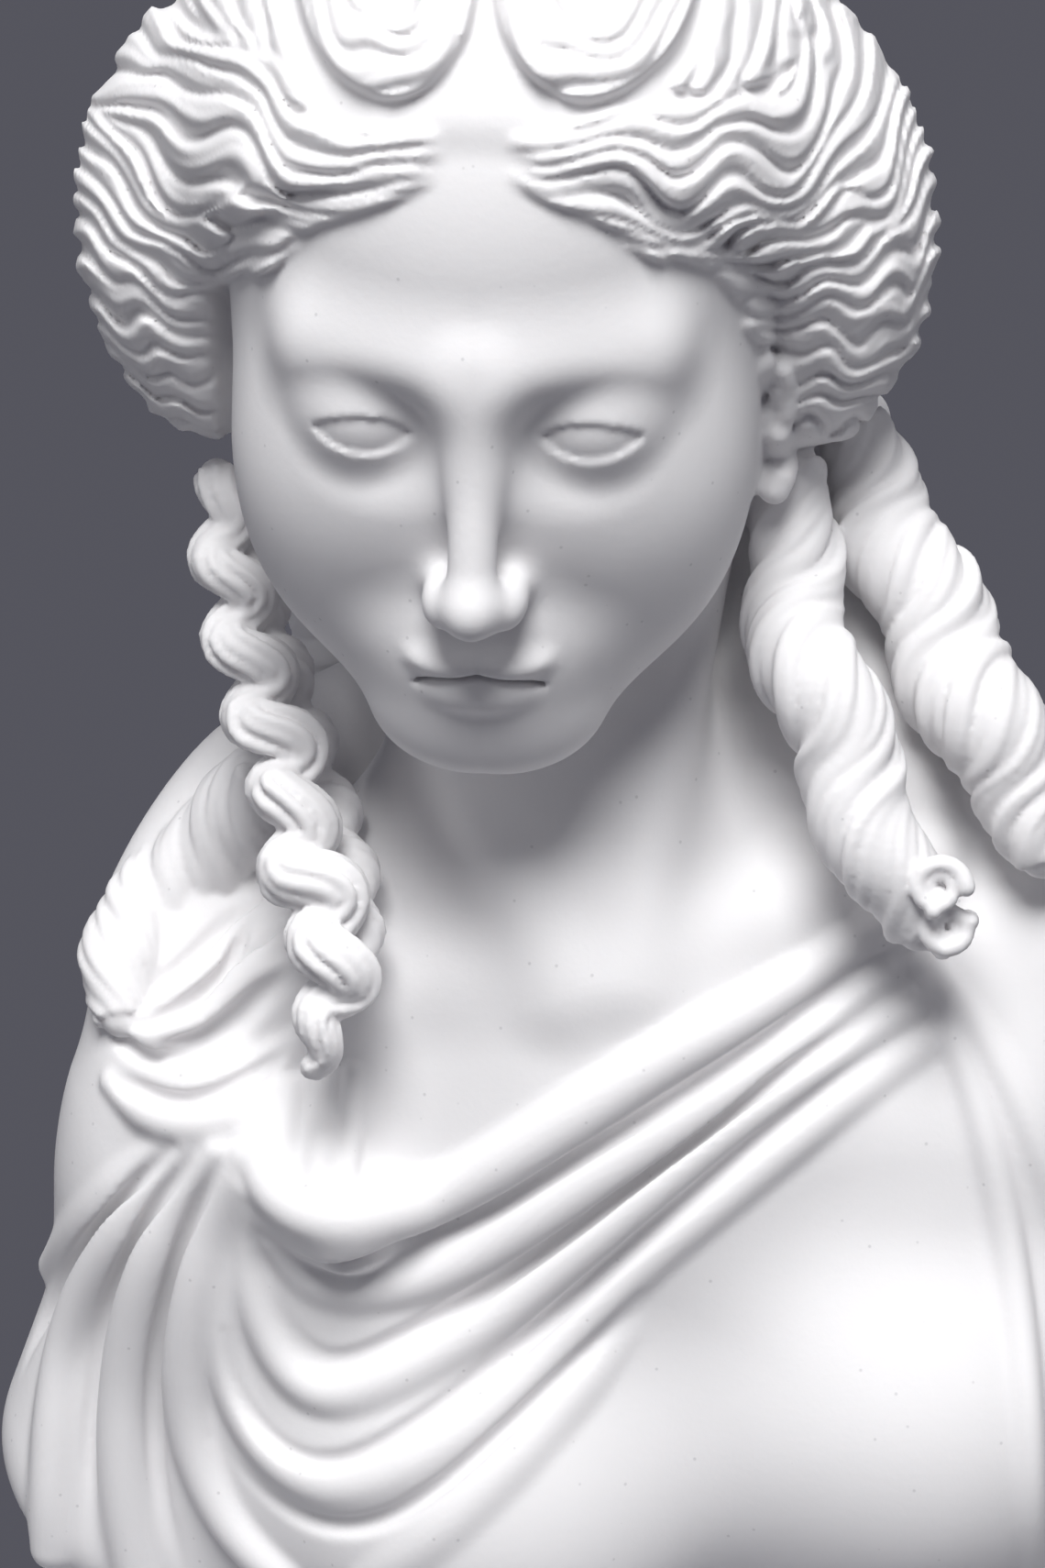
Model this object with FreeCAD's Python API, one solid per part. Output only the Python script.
# Marble portrait-style bust on a turned marble socle, held by one central threaded rod.
# Units: millimetres. +Z is up, the sculpture faces -Y, its own left side is +X.
# Origin: centre of the underside of the felt pad, on the axis of the central rod.
import FreeCAD, Part
import math
import os

V = FreeCAD.Vector

# ---------------------------------------------------------------- driving dimensions
# felt and socle
FELT_T = 2.0            # felt pad thickness
FELT_R = 58.0           # felt pad radius
SOCLE_BASE_R = 63.0     # largest radius of the socle
SOCLE_Z0 = FELT_T       # socle underside
SOCLE_Z1 = 93.0         # socle top
SOCLE_TOP_R = 46.0      # radius of the socle's top moulding
SOCLE_WAIST_R = 31.0    # narrowest radius of the socle
BUSH_BORE_R = 6.5       # bore of the socle that holds the bush
CBORE_R = 19.0          # counterbore in the socle's underside, for the nut and washers
CBORE_DEPTH = 22.0
# central fastener
ROD_R = 5.0             # M10 rod
ROD_CLEAR = 0.08        # radial running clearance of the rod in the bush
BUSH_FLANGE_R = 9.5
BUSH_FLANGE_T = 2.0
WASHER_T = 2.0
WASHER_R = 15.0
WAVE_T = 1.6
WAVE_R = 9.0
NUT_AF = 17.0           # across flats, M10 lock nut
NUT_H = 10.0
INSERT_R = 8.0          # brass insert cemented in the bust's block
INSERT_L = 30.0
SLIP_T = 1.0            # slip washer between the two marble faces
SLIP_R = 24.0
# bust
BUST_Z0 = SOCLE_Z1 + SLIP_T   # underside of the bust's block
BLOCK_X, BLOCK_Y = 64.0, 58.0 # block under the bust
BLOCK_Z1 = 124.0
HOLE_DEPTH = 34.0       # blind hole for the insert and the rod's end
PIT = V(0, -30, 240)    # hollow between the collar bones
LEAN = 12.0             # shoulders slope, the sculpture's left one higher, degrees
HEAD_C = V(-15, -14, 350)     # centre of the skull
HEAD_H = 130.0          # chin to crown
HEAD_BOW = 10.0         # head bowed forward, degrees
HEAD_TURN = 5.0         # head turned to its own right, degrees


NU = 84                 # poles round the body
PIER_HALF = 17.0        # half the width of the pier left in the hollowed back
POCKET_X, POCKET_Y0 = 56.0, 12.0      # how far out and how far forward the two hollows go
POCKET_Z0, POCKET_Z1 = 143.0, 204.0


def fuse_all(shapes):
    out = shapes[0]
    for k, s in enumerate(shapes[1:]):
        out = out.fuse(s)
        print("fuse", k + 1, out.isValid(), len(out.Solids), round(out.Volume / 1000, 1))
    return out


def make_socle():
    z0, z1 = SOCLE_Z0, SOCLE_Z1
    R, T, W = SOCLE_BASE_R, SOCLE_TOP_R, SOCLE_WAIST_R
    L = Part.LineSegment
    A = Part.Arc
    e = []
    p = [V(0, 0, z0), V(R - 1, 0, z0)]
    e.append(L(p[0], p[1]))
    e.append(L(V(R - 1, 0, z0), V(R, 0, z0 + 1)))
    e.append(L(V(R, 0, z0 + 1), V(R, 0, z0 + 13)))
    e.append(L(V(R, 0, z0 + 13), V(R - 2, 0, z0 + 14)))
    # lower torus
    e.append(A(V(R - 2, 0, z0 + 14), V(R + 0.0 - 0.2 + 0.0, 0, z0 + 19.5), V(R - 5, 0, z0 + 25)))
    e.append(L(V(R - 5, 0, z0 + 25), V(R - 9, 0, z0 + 25)))
    e.append(L(V(R - 9, 0, z0 + 25), V(R - 9, 0, z0 + 28)))
    # scotia up to the waist
    s = Part.BSplineCurve()
    s.interpolate([V(R - 9, 0, z0 + 28), V(R - 18, 0, z0 + 31.5), V(W + 5.5, 0, z0 + 40), V(W + 0.8, 0, z0 + 50), V(W, 0, z0 + 58)])
    e.append(s)
    # astragal
    e.append(L(V(W, 0, z0 + 58), V(W + 2.2, 0, z0 + 58)))
    e.append(A(V(W + 2.2, 0, z0 + 58), V(W + 5.0, 0, z0 + 61), V(W + 2.2, 0, z0 + 64)))
    e.append(L(V(W + 2.2, 0, z0 + 64), V(W + 1.2, 0, z0 + 64)))
    # cavetto up to the top moulding
    s = Part.BSplineCurve()
    s.interpolate([V(W + 1.2, 0, z0 + 64), V(W + 2.6, 0, z0 + 70), V(W + 7.0, 0, z0 + 76), V(T - 2, 0, z0 + 80)])
    e.append(s)
    e.append(L(V(T - 2, 0, z0 + 80), V(T - 2, 0, z0 + 82)))
    e.append(A(V(T - 2, 0, z0 + 82), V(T, 0, z0 + 86), V(T - 2, 0, z0 + 90)))
    e.append(L(V(T - 2, 0, z0 + 90), V(T - 4, 0, z1)))
    e.append(L(V(T - 4, 0, z1), V(0, 0, z1)))
    e.append(L(V(0, 0, z1), V(0, 0, z0)))
    w = Part.Wire([x.toShape() for x in e])
    body = Part.Face(w).revolve(V(0, 0, 0), V(0, 0, 1), 360)
    if body.ShapeType != "Solid":
        body = Part.makeSolid(body) if body.ShapeType == "Shell" else body.Solids[0]
    bore = Part.makeCylinder(BUSH_BORE_R, z1 - z0 + 2, V(0, 0, z0 - 1))
    cbore = Part.makeCylinder(CBORE_R, CBORE_DEPTH + 1, V(0, 0, z0 - 1))
    return body.cut(bore).cut(cbore)


# ---------------------------------------------------------------- the sculpture's form, as distances in millimetres
def ell(p, c, r):
    x, y, z = p[0] - c[0], p[1] - c[1], p[2] - c[2]
    k0 = math.sqrt((x / r[0]) ** 2 + (y / r[1]) ** 2 + (z / r[2]) ** 2)
    k1 = math.sqrt((x / r[0] ** 2) ** 2 + (y / r[1] ** 2) ** 2 + (z / r[2] ** 2) ** 2)
    return k0 * (k0 - 1.0) / max(k1, 1e-6)


def cap(p, a, b, ra, rb):
    dx, dy, dz = b[0] - a[0], b[1] - a[1], b[2] - a[2]
    px, py, pz = p[0] - a[0], p[1] - a[1], p[2] - a[2]
    t = max(0.0, min(1.0, (px * dx + py * dy + pz * dz) / (dx * dx + dy * dy + dz * dz)))
    return math.sqrt((px - t * dx) ** 2 + (py - t * dy) ** 2 + (pz - t * dz) ** 2) - (ra + t * (rb - ra))


def smin(a, b, k):
    h = max(0.0, min(1.0, 0.5 + 0.5 * (b - a) / k))
    return b + (a - b) * h - k * h * (1 - h)


def smax(a, b, k):
    return -smin(-a, -b, k)


def torso_frame(p):
    """Into the shoulders' frame: origin at the hollow between the collar bones, tilted with the shoulders."""
    t = math.radians(LEAN)
    x, y, z = p[0] - PIT.x, p[1] - PIT.y, p[2] - PIT.z
    return (x * math.cos(t) + z * math.sin(t), y, -x * math.sin(t) + z * math.cos(t))


def torso_point(q):
    t = math.radians(LEAN)
    return (PIT.x + q[0] * math.cos(t) - q[2] * math.sin(t), PIT.y + q[1], PIT.z + q[0] * math.sin(t) + q[2] * math.cos(t))


def head_frame(p):
    """Into the head's frame: x to its left, y to its back, z to its crown."""
    a, b = math.radians(HEAD_TURN), math.radians(HEAD_BOW)
    x, y, z = p[0] - HEAD_C.x, p[1] - HEAD_C.y, p[2] - HEAD_C.z
    x, y = x * math.cos(a) - y * math.sin(a), x * math.sin(a) + y * math.cos(a)
    return (x, y * math.cos(b) + z * math.sin(b), -y * math.sin(b) + z * math.cos(b))


def head_at(q):
    a, b = math.radians(HEAD_TURN), math.radians(HEAD_BOW)
    x, y, z = q[0], q[1] * math.cos(b) - q[2] * math.sin(b), q[1] * math.sin(b) + q[2] * math.cos(b)
    return (HEAD_C.x + x * math.cos(a) + y * math.sin(a), HEAD_C.y - x * math.sin(a) + y * math.cos(a), HEAD_C.z + z)


def torso_form(p):
    q = torso_frame(p)
    d = ell(q, (0, 28, -62), (68, 42, 88))
    d = smin(d, ell(q, (0, 14, -46), (64, 24, 46)), 16)
    for s in (-1, 1):
        d = smin(d, cap(q, (s * 8, 30, 6), (s * 58, 26, -16), 17, 20), 14)
        d = smin(d, ell(q, (s * 74, 24, -34), (23, 25, 34)), 12)
        d = smin(d, cap(p, torso_point((s * 76, 24, -44)), (s * 86 - 3, -8, 112), 21, 22), 14)
        d = smin(d, cap(p, torso_point((s * 52, 20, -50)), (s * 56, -6, 112), 30, 30), 14)
        d = smin(d, ell(q, (s * 36, -4, -92), (34, 30, 32)), 22)
        d = smin(d, cap(q, (s * 6, 30, 30), (s * 46, 30, -2), 14, 13), 14)
        d = smin(d, cap(q, (s * 7, 3.5, -3), (s * 52, 12, 3), 2.2, 2.4), 12)
    # the cut edge of the chest: a squared bowl
    b = ((abs(p[0]) / 110.0) ** 4 + (abs(p[1] - 6) / 80.0) ** 4 + (abs(p[2] - 208) / 97.0) ** 4) ** 0.25
    return smax(d, (b - 1.0) * 88.0, 5)


def neck_form(p):
    d = cap(p, (1, 6, 228), (-12, 2, 312), 27.5, 23.5)
    for s in (-1, 1):
        d = smin(d, cap(p, torso_point((s * 5, 0, -2)), head_at((s * 34, 16, -22)), 4.0, 7.0), 9)
    return d


def face_form(p):
    """A plain classical head: every feature sits where a drawing manual puts it, in fifths of the width and thirds of the height."""
    q = head_frame(p)
    m = (abs(q[0]), q[1], q[2])
    d = ell(q, (0, 8, 14), (43, 50, 51))
    d = smin(d, ell(q, (0, -8, -16), (37, 38, 48)), 8)
    d = smin(d, ell(q, (0, -34, -52), (13, 11, 12)), 14)
    d = smin(d, cap(m, (6, -40.5, 5.5), (25, -33, 6.5), 5.0, 4.5), 6)
    d = smax(d, -ell(m, (16.5, -47.5, -1), (10.5, 8, 6.5)), 6)
    d = smin(d, ell(m, (16.8, -32.5, -1), (10.5, 10, 8)), 2)
    d = smin(d, cap(q, (0, -41.5, 8), (0, -54.5, -24), 4.2, 4.8), 4)
    d = smin(d, ell(m, (5.2, -48.5, -26.5), (4.2, 6.0, 4.0)), 2.5)
    d = smin(d, ell(q, (0, -43.0, -39.6), (11.5, 5.5, 3.0)), 2.0)
    d = smin(d, ell(q, (0, -41.6, -45.0), (9.5, 5.5, 3.4)), 1.5)
    return d


def hair_form(p):
    q = head_frame(p)
    d = ell(q, (0, 12, 21), (54, 56, 49.5))
    d = smin(d, ell(q, (-43, 18, 1), (25.5, 31, 38)), 9)
    d = smin(d, ell(q, (42, 18, 1), (25.5, 31, 38)), 9)
    d = smin(d, ell(q, (0, 58, 0), (38, 27, 32)), 12)
    return smax(d, -ell(q, (0, -62, -12), (63, 80, 55)), 10)


def bust_form(p):
    d = smin(torso_form(p), neck_form(p), 10)
    d = smin(d, face_form(p), 5)
    return smin(d, hair_form(p), 2)


def section_axis(z):
    """The line the sections are measured from: up the body, through the neck, into the head."""
    stops = ((110, 0, 0), (200, 0, 4), (240, -1, 6), (280, -7, 4), (310, -12, 2), (350, -14, -6), (420, -16, -14))
    for (z0, x0, y0), (z1, x1, y1) in zip(stops, stops[1:]):
        if z <= z1:
            t = max(0.0, (z - z0) / (z1 - z0))
            return x0 + t * (x1 - x0), y0 + t * (y1 - y0)
    return stops[-1][1], stops[-1][2]


def radius_at(z, a):
    cx, cy = section_axis(z)
    c, s = math.cos(a), math.sin(a)
    r = last = 135.0
    while r > 1.5:
        d = bust_form((cx + r * c, cy + r * s, z))
        if d < 0.0:
            lo, hi = r, last
            for _ in range(7):
                mid = 0.5 * (lo + hi)
                if bust_form((cx + mid * c, cy + mid * s, z)) < 0.0:
                    lo = mid
                else:
                    hi = mid
            return 0.5 * (lo + hi)
        last = r
        r -= max(0.85 * d, 0.6)
    return 1.5


def skin(rows, caps=(True, True)):
    """A closed solid over rows of points, each row a closed ring; the points are the surface's poles."""
    nv, nu = len(rows), len(rows[0])
    surf = Part.BSplineSurface()
    vk = list(range(nv - 2))
    surf.buildFromPolesMultsKnots(
        [[rows[j][i] for j in range(nv)] for i in range(nu)],
        [1] * (nu + 1), [4] + [1] * (nv - 4) + [4], list(range(nu + 1)), vk, True, False, 3, 3)
    side = surf.toShape()
    faces = [side]
    for row in (rows[0], rows[-1]):
        c = Part.BSplineCurve()
        c.buildFromPolesMultsKnots(row, [1] * (nu + 1), list(range(nu + 1)), True, 3)
        faces.append(Part.Face(Part.Wire([c.toShape()])))
    shell = Part.makeShell(faces)
    shell.sewShape()
    solid = Part.makeSolid(shell)
    if solid.Volume < 0:
        solid.reverse()
    return solid


def make_body():
    angles = []
    for i in range(NU):
        t = 2 * math.pi * i / NU
        # closer together at the front, where the face is
        angles.append(t + 0.45 * math.cos(t))
    levels = [112 + 4.0 * k for k in range(43)] + [283 + 2.6 * k for k in range(38)] + [384 + 4.0 * k for k in range(6)]
    rows = []
    for z in levels:
        cx, cy = section_axis(z)
        rows.append([V(cx + radius_at(z, a) * math.cos(a), cy + radius_at(z, a) * math.sin(a), z) for a in angles])
    top = levels[-1]
    while True:
        top += 2.5
        cx, cy = section_axis(top)
        rr = [radius_at(top, a) for a in angles]
        if min(rr) < 6:
            break
        rows.append([V(cx + r * math.cos(a), cy + r * math.sin(a), top) for r, a in zip(rr, angles)])
    cx, cy = section_axis(top)
    last = rows[-1][0].z + 0.8
    rows.append([V(cx + 0.5 * (p.x - cx), cy + 0.5 * (p.y - cy), last) for p in rows[-1]])
    rows.append([V(cx + 0.2 * (p.x - cx), cy + 0.2 * (p.y - cy), last) for p in rows[-2]])
    return skin(rows)


def on_front(x, z, lift=0.0):
    """The point of the body's front face at (x, z), lifted forward by lift."""
    y = -140.0
    for _ in range(80):
        d = bust_form((x, y, z))
        if d < 0.08:
            break
        y += max(0.8 * d, 0.15)
    return V(x, y - lift, z)


def curl(points, radii, turns=0.0, lobes=2, depth=0.0, flat=1.0, out=None, n=14, closed_ends=True):
    """A lock or a fold: a ring of poles carried along the smooth line through points, turning as it goes."""
    line = Part.BSplineCurve()
    line.interpolate(points)
    total = line.length()
    m = max(6, int(total / 5.0))
    rows = []
    a0, a1 = line.FirstParameter, line.LastParameter
    cum = [0.0]
    for p, q in zip(points, points[1:]):
        cum.append(cum[-1] + (q - p).Length)
    for j in range(-1, m + 2):
        s = min(1.0, max(0.0, j / float(m)))
        par = line.parameterAtDistance(total * s, a0)
        c = line.value(par)
        t = line.tangent(par)[0]
        ref = out if out is not None else V(0, -1, 0.25)
        side = t.cross(ref).normalize()
        nrm = side.cross(t).normalize()
        w = s * cum[-1]
        for k in range(len(cum) - 1):
            if w <= cum[k + 1] or k == len(cum) - 2:
                f = (w - cum[k]) / (cum[k + 1] - cum[k])
                f = max(0.0, min(1.0, f))
                r = radii[k] + f * (radii[k + 1] - radii[k])
                break
        if j == -1 or j == m + 1:
            r *= 0.55
            c = c + t * (r * (-1 if j == -1 else 1) * 0.9)
        ring_pts = []
        for i in range(n):
            a = 2 * math.pi * i / n
            rr = r * (1 + depth * math.cos(lobes * (a - 2 * math.pi * turns * s)))
            ring_pts.append(c + side * (rr * math.cos(a)) + nrm * (rr * flat * math.sin(a)))
        rows.append(ring_pts)
    return skin(rows)


def make_bust():
    body = make_body()
    print("body", body.isValid(), len(body.Solids), round(body.Volume / 1000, 1))
    locks = [
        curl([V(28, 6, 331), V(31.1, -2, 316.4), V(30.5, -6, 306.2), V(31.8, -14, 296.9), V(35, -24, 287.8), V(39.3, -31, 277.5), V(44, -36, 267.8), V(48.5, -39, 258), V(51, -39, 249)], [5.5, 6.6, 7.6, 8.0, 8.4, 8.6, 8.4, 7.6, 5.0], -3.0, 2, 0.12),
        curl([V(34, 12, 332), V(40.8, 8, 317.9), V(45.2, 4, 308.4), V(50.2, -3, 297.8), V(55.9, -10, 288.8), V(61.6, -17, 279.9), V(67.1, -22, 270.1), V(70.7, -24, 262), V(72.5, -24, 254)], [5.5, 6.6, 8.4, 8.8, 9.2, 9.4, 9.2, 8.0, 5.0], -4.0, 2, 0.12),
        curl([V(-56, 8, 328), V(-59.5, 2, 312.4), V(-58.9, -4, 302.2), V(-56.2, -10, 290.4), V(-52.9, -16, 280.2), V(-48.4, -23, 270.5), V(-47.7, -30, 262.5), V(-43.2, -36.5, 254), V(-41.2, -40, 245), V(-42.1, -42, 236), V(-45.6, -42, 227)], [5.0, 5.6, 6.2, 6.6, 7.0, 6.8, 7.0, 7.4, 7.0, 6.2, 3.6], -3.4, 2, 0.12),
        curl([V(26, 40, 346), V(32, 44, 326), V(38, 49, 304), V(42, 51, 280), V(44, 47, 256), V(44, 42, 234)], [8, 10, 11, 12, 11, 8], 2.0, 2, 0.14, out=V(0, 1, 0)),
        curl([V(-40, 40, 342), V(-42, 44, 322), V(-42, 48, 300), V(-42, 48, 276), V(-41, 44, 250), V(-40, 40, 228)], [8, 10, 11, 12, 11, 8], -2.0, 2, 0.14, out=V(0, 1, 0)),
        curl([V(-6, 44, 344), V(-3, 50, 324), V(0, 55, 300), V(2, 54, 274), V(2, 46, 248)], [9, 11, 12, 12, 9], 1.6, 2, 0.14, out=V(0, 1, 0)),
    ]
    folds = [
        # the turned-over collar of the mantle, round the right shoulder, and the bunch on the left one
        curl([V(-32, 28, 262), V(-57, 18, 247), V(-69, 3, 226), V(-65, -15, 211), V(-52, -30, 204), V(-38, -40, 200)], [10, 13.5, 15.5, 14.5, 12, 9], 0.5, 3, 0.07),
        curl([V(36, 34, 262), V(60, 28, 262), V(82, 16, 256), V(94, 2, 244)], [9, 11, 11, 8], 0.4, 3, 0.07),
    ]
    for pts, r in (
        (((47, 246.6), (33, 239.4), (19, 232.8), (5.3, 225.2), (-8.2, 215.7), (-22, 205.5), (-37.7, 198.6), (-50, 200.5)), (3.5, 4.6, 5.2, 5.4, 5.4, 5.4, 5.2, 4.0)),
        (((50, 239.6), (35.5, 232.1), (21.5, 223.8), (7.3, 214.5), (-6.9, 203.8), (-21.6, 192.6), (-38.3, 186.6), (-50, 191)), (3.0, 4.0, 4.6, 5.0, 5.0, 4.8, 4.4, 3.0)),
        (((53, 234.4), (36.3, 226.9), (20.6, 216.9), (5.7, 204.1), (-9.4, 189.9), (-25.6, 178.2), (-43.8, 168.3), (-55.5, 181.5), (-57.3, 198)), (3.2, 4.0, 4.4, 4.6, 5.0, 5.0, 4.6, 4.2, 3.0)),
        (((54, 228.7), (35.8, 217.6), (18.5, 203.9), (1.6, 187.6), (-15.1, 172.9), (-33.6, 159.9), (-54.5, 156.8), (-61.8, 178.1), (-60, 198)), (3.2, 4.0, 4.4, 4.8, 5.2, 5.2, 4.8, 4.4, 3.0)),
        (((-59, 205), (-64, 191.8), (-67.5, 173.8), (-67.5, 155.3), (-61.1, 140.9), (-50, 133)), (3.0, 4.2, 4.6, 4.8, 4.6, 3.0)),
        (((-63, 205), (-71, 193.3), (-77, 175.1), (-79.5, 156.7), (-79, 139.6), (-76, 124)), (3.0, 4.2, 4.6, 4.8, 4.6, 3.0)),
        (((53, 239), (60.5, 223.0), (65.8, 203.5), (69.0, 184.8), (71, 166.6), (72.4, 140)), (2.4, 2.8, 3.0, 3.0, 3.0, 2.4)),
    ):
        folds.append(curl([on_front(x, z, -0.35 * rr) for (x, z), rr in zip(pts, r)], list(r), 0.0, 2, 0.0))
    block = Part.makeBox(BLOCK_X, BLOCK_Y, BLOCK_Z1 - BUST_Z0, V(-BLOCK_X / 2, -BLOCK_Y / 2, BUST_Z0))
    block = block.makeChamfer(1.5, [e for e in block.Edges if abs(e.Vertexes[0].Z - e.Vertexes[-1].Z) > 5])
    for k, s in enumerate(locks + folds):
        if not s.isValid() or len(s.Solids) != 1:
            print("piece", k, "valid", s.isValid(), "solids", len(s.Solids))
    body = fuse_all([body, block] + locks + folds)
    # hollowed back, with a pier left standing in the middle
    for side in (-1, 1):
        lo, hi = sorted((side * PIER_HALF, side * POCKET_X))
        pocket = Part.makeBox(hi - lo, 60, POCKET_Z1 - POCKET_Z0, V(lo, POCKET_Y0, POCKET_Z0))
        edges = [e for e in pocket.Edges if abs(e.Vertexes[0].Z - POCKET_Z1) < 1e-6 and abs(e.Vertexes[-1].Z - POCKET_Z1) < 1e-6]
        body = body.cut(pocket.makeFillet(14.0, edges))
    return body.cut(Part.makeCylinder(INSERT_R, HOLE_DEPTH + 1, V(0, 0, BUST_Z0 - 1)))


def hexagon(af, h, z):
    r = af / 2 / math.cos(math.pi / 6)
    pts = [V(r * math.cos(math.pi / 3 * i), r * math.sin(math.pi / 3 * i), z) for i in range(7)]
    return Part.Face(Part.makePolygon(pts)).extrude(V(0, 0, h))


def annulus(ro, ri, z, h):
    return Part.makeCylinder(ro, h, V(0, 0, z)).cut(Part.makeCylinder(ri, h + 2, V(0, 0, z - 1)))


def main():
    os.makedirs("parts", exist_ok=True)
    run = ROD_R + ROD_CLEAR
    cb_top = SOCLE_Z0 + CBORE_DEPTH            # ceiling of the counterbore
    z_wash = cb_top - BUSH_FLANGE_T            # underside of the bush's flange
    parts = {}
    parts["felt_pad"] = Part.makeCylinder(FELT_R, FELT_T)
    parts["socle"] = make_socle()
    bush = Part.makeCylinder(BUSH_BORE_R, SOCLE_Z1 - cb_top, V(0, 0, cb_top)).fuse(
        Part.makeCylinder(BUSH_FLANGE_R, BUSH_FLANGE_T, V(0, 0, z_wash)))
    bush = bush.removeSplitter()
    parts["socle_bush"] = bush.cut(Part.makeCylinder(run, 120, V(0, 0, 0)))
    parts["slip_washer"] = annulus(SLIP_R, run, SOCLE_Z1, SLIP_T)
    parts["load_washer"] = annulus(WASHER_R, ROD_R, z_wash - WASHER_T, WASHER_T)
    parts["spring_washer"] = annulus(WAVE_R, ROD_R, z_wash - WASHER_T - WAVE_T, WAVE_T)
    nut_z1 = z_wash - WASHER_T - WAVE_T
    nut = hexagon(NUT_AF, NUT_H, nut_z1 - NUT_H)
    cone = Part.makeCone(NUT_AF / 2 * 0.97, NUT_AF / 2 * 0.97 + NUT_H * 1.2, NUT_H * 1.2, V(0, 0, nut_z1 - NUT_H))
    nut = nut.common(cone)
    parts["lock_nut"] = nut.cut(Part.makeCylinder(ROD_R, 40, V(0, 0, nut_z1 - 20)))
    rod_z0 = nut_z1 - NUT_H - 2.0
    rod_z1 = BUST_Z0 + INSERT_L - 2.0
    rod = Part.makeCylinder(ROD_R, rod_z1 - rod_z0, V(0, 0, rod_z0))
    parts["threaded_rod"] = rod.makeChamfer(0.8, [e for e in rod.Edges if e.Curve.TypeId == "Part::GeomCircle"])
    ins = annulus(INSERT_R, ROD_R, BUST_Z0, INSERT_L)
    parts["bust_insert"] = ins
    parts["bust"] = make_bust()
    for name, s in parts.items():
        s = s.removeSplitter() if name not in ("bust",) else s
        print(name, s.ShapeType, "valid", s.isValid(), "solids", len(s.Solids), "vol cm3", round(s.Volume / 1000, 2),
              "box", [round(x, 1) for x in (s.BoundBox.XMin, s.BoundBox.YMin, s.BoundBox.ZMin, s.BoundBox.XMax, s.BoundBox.YMax, s.BoundBox.ZMax)])
        s.exportStep("parts/%s.step" % name)


main()
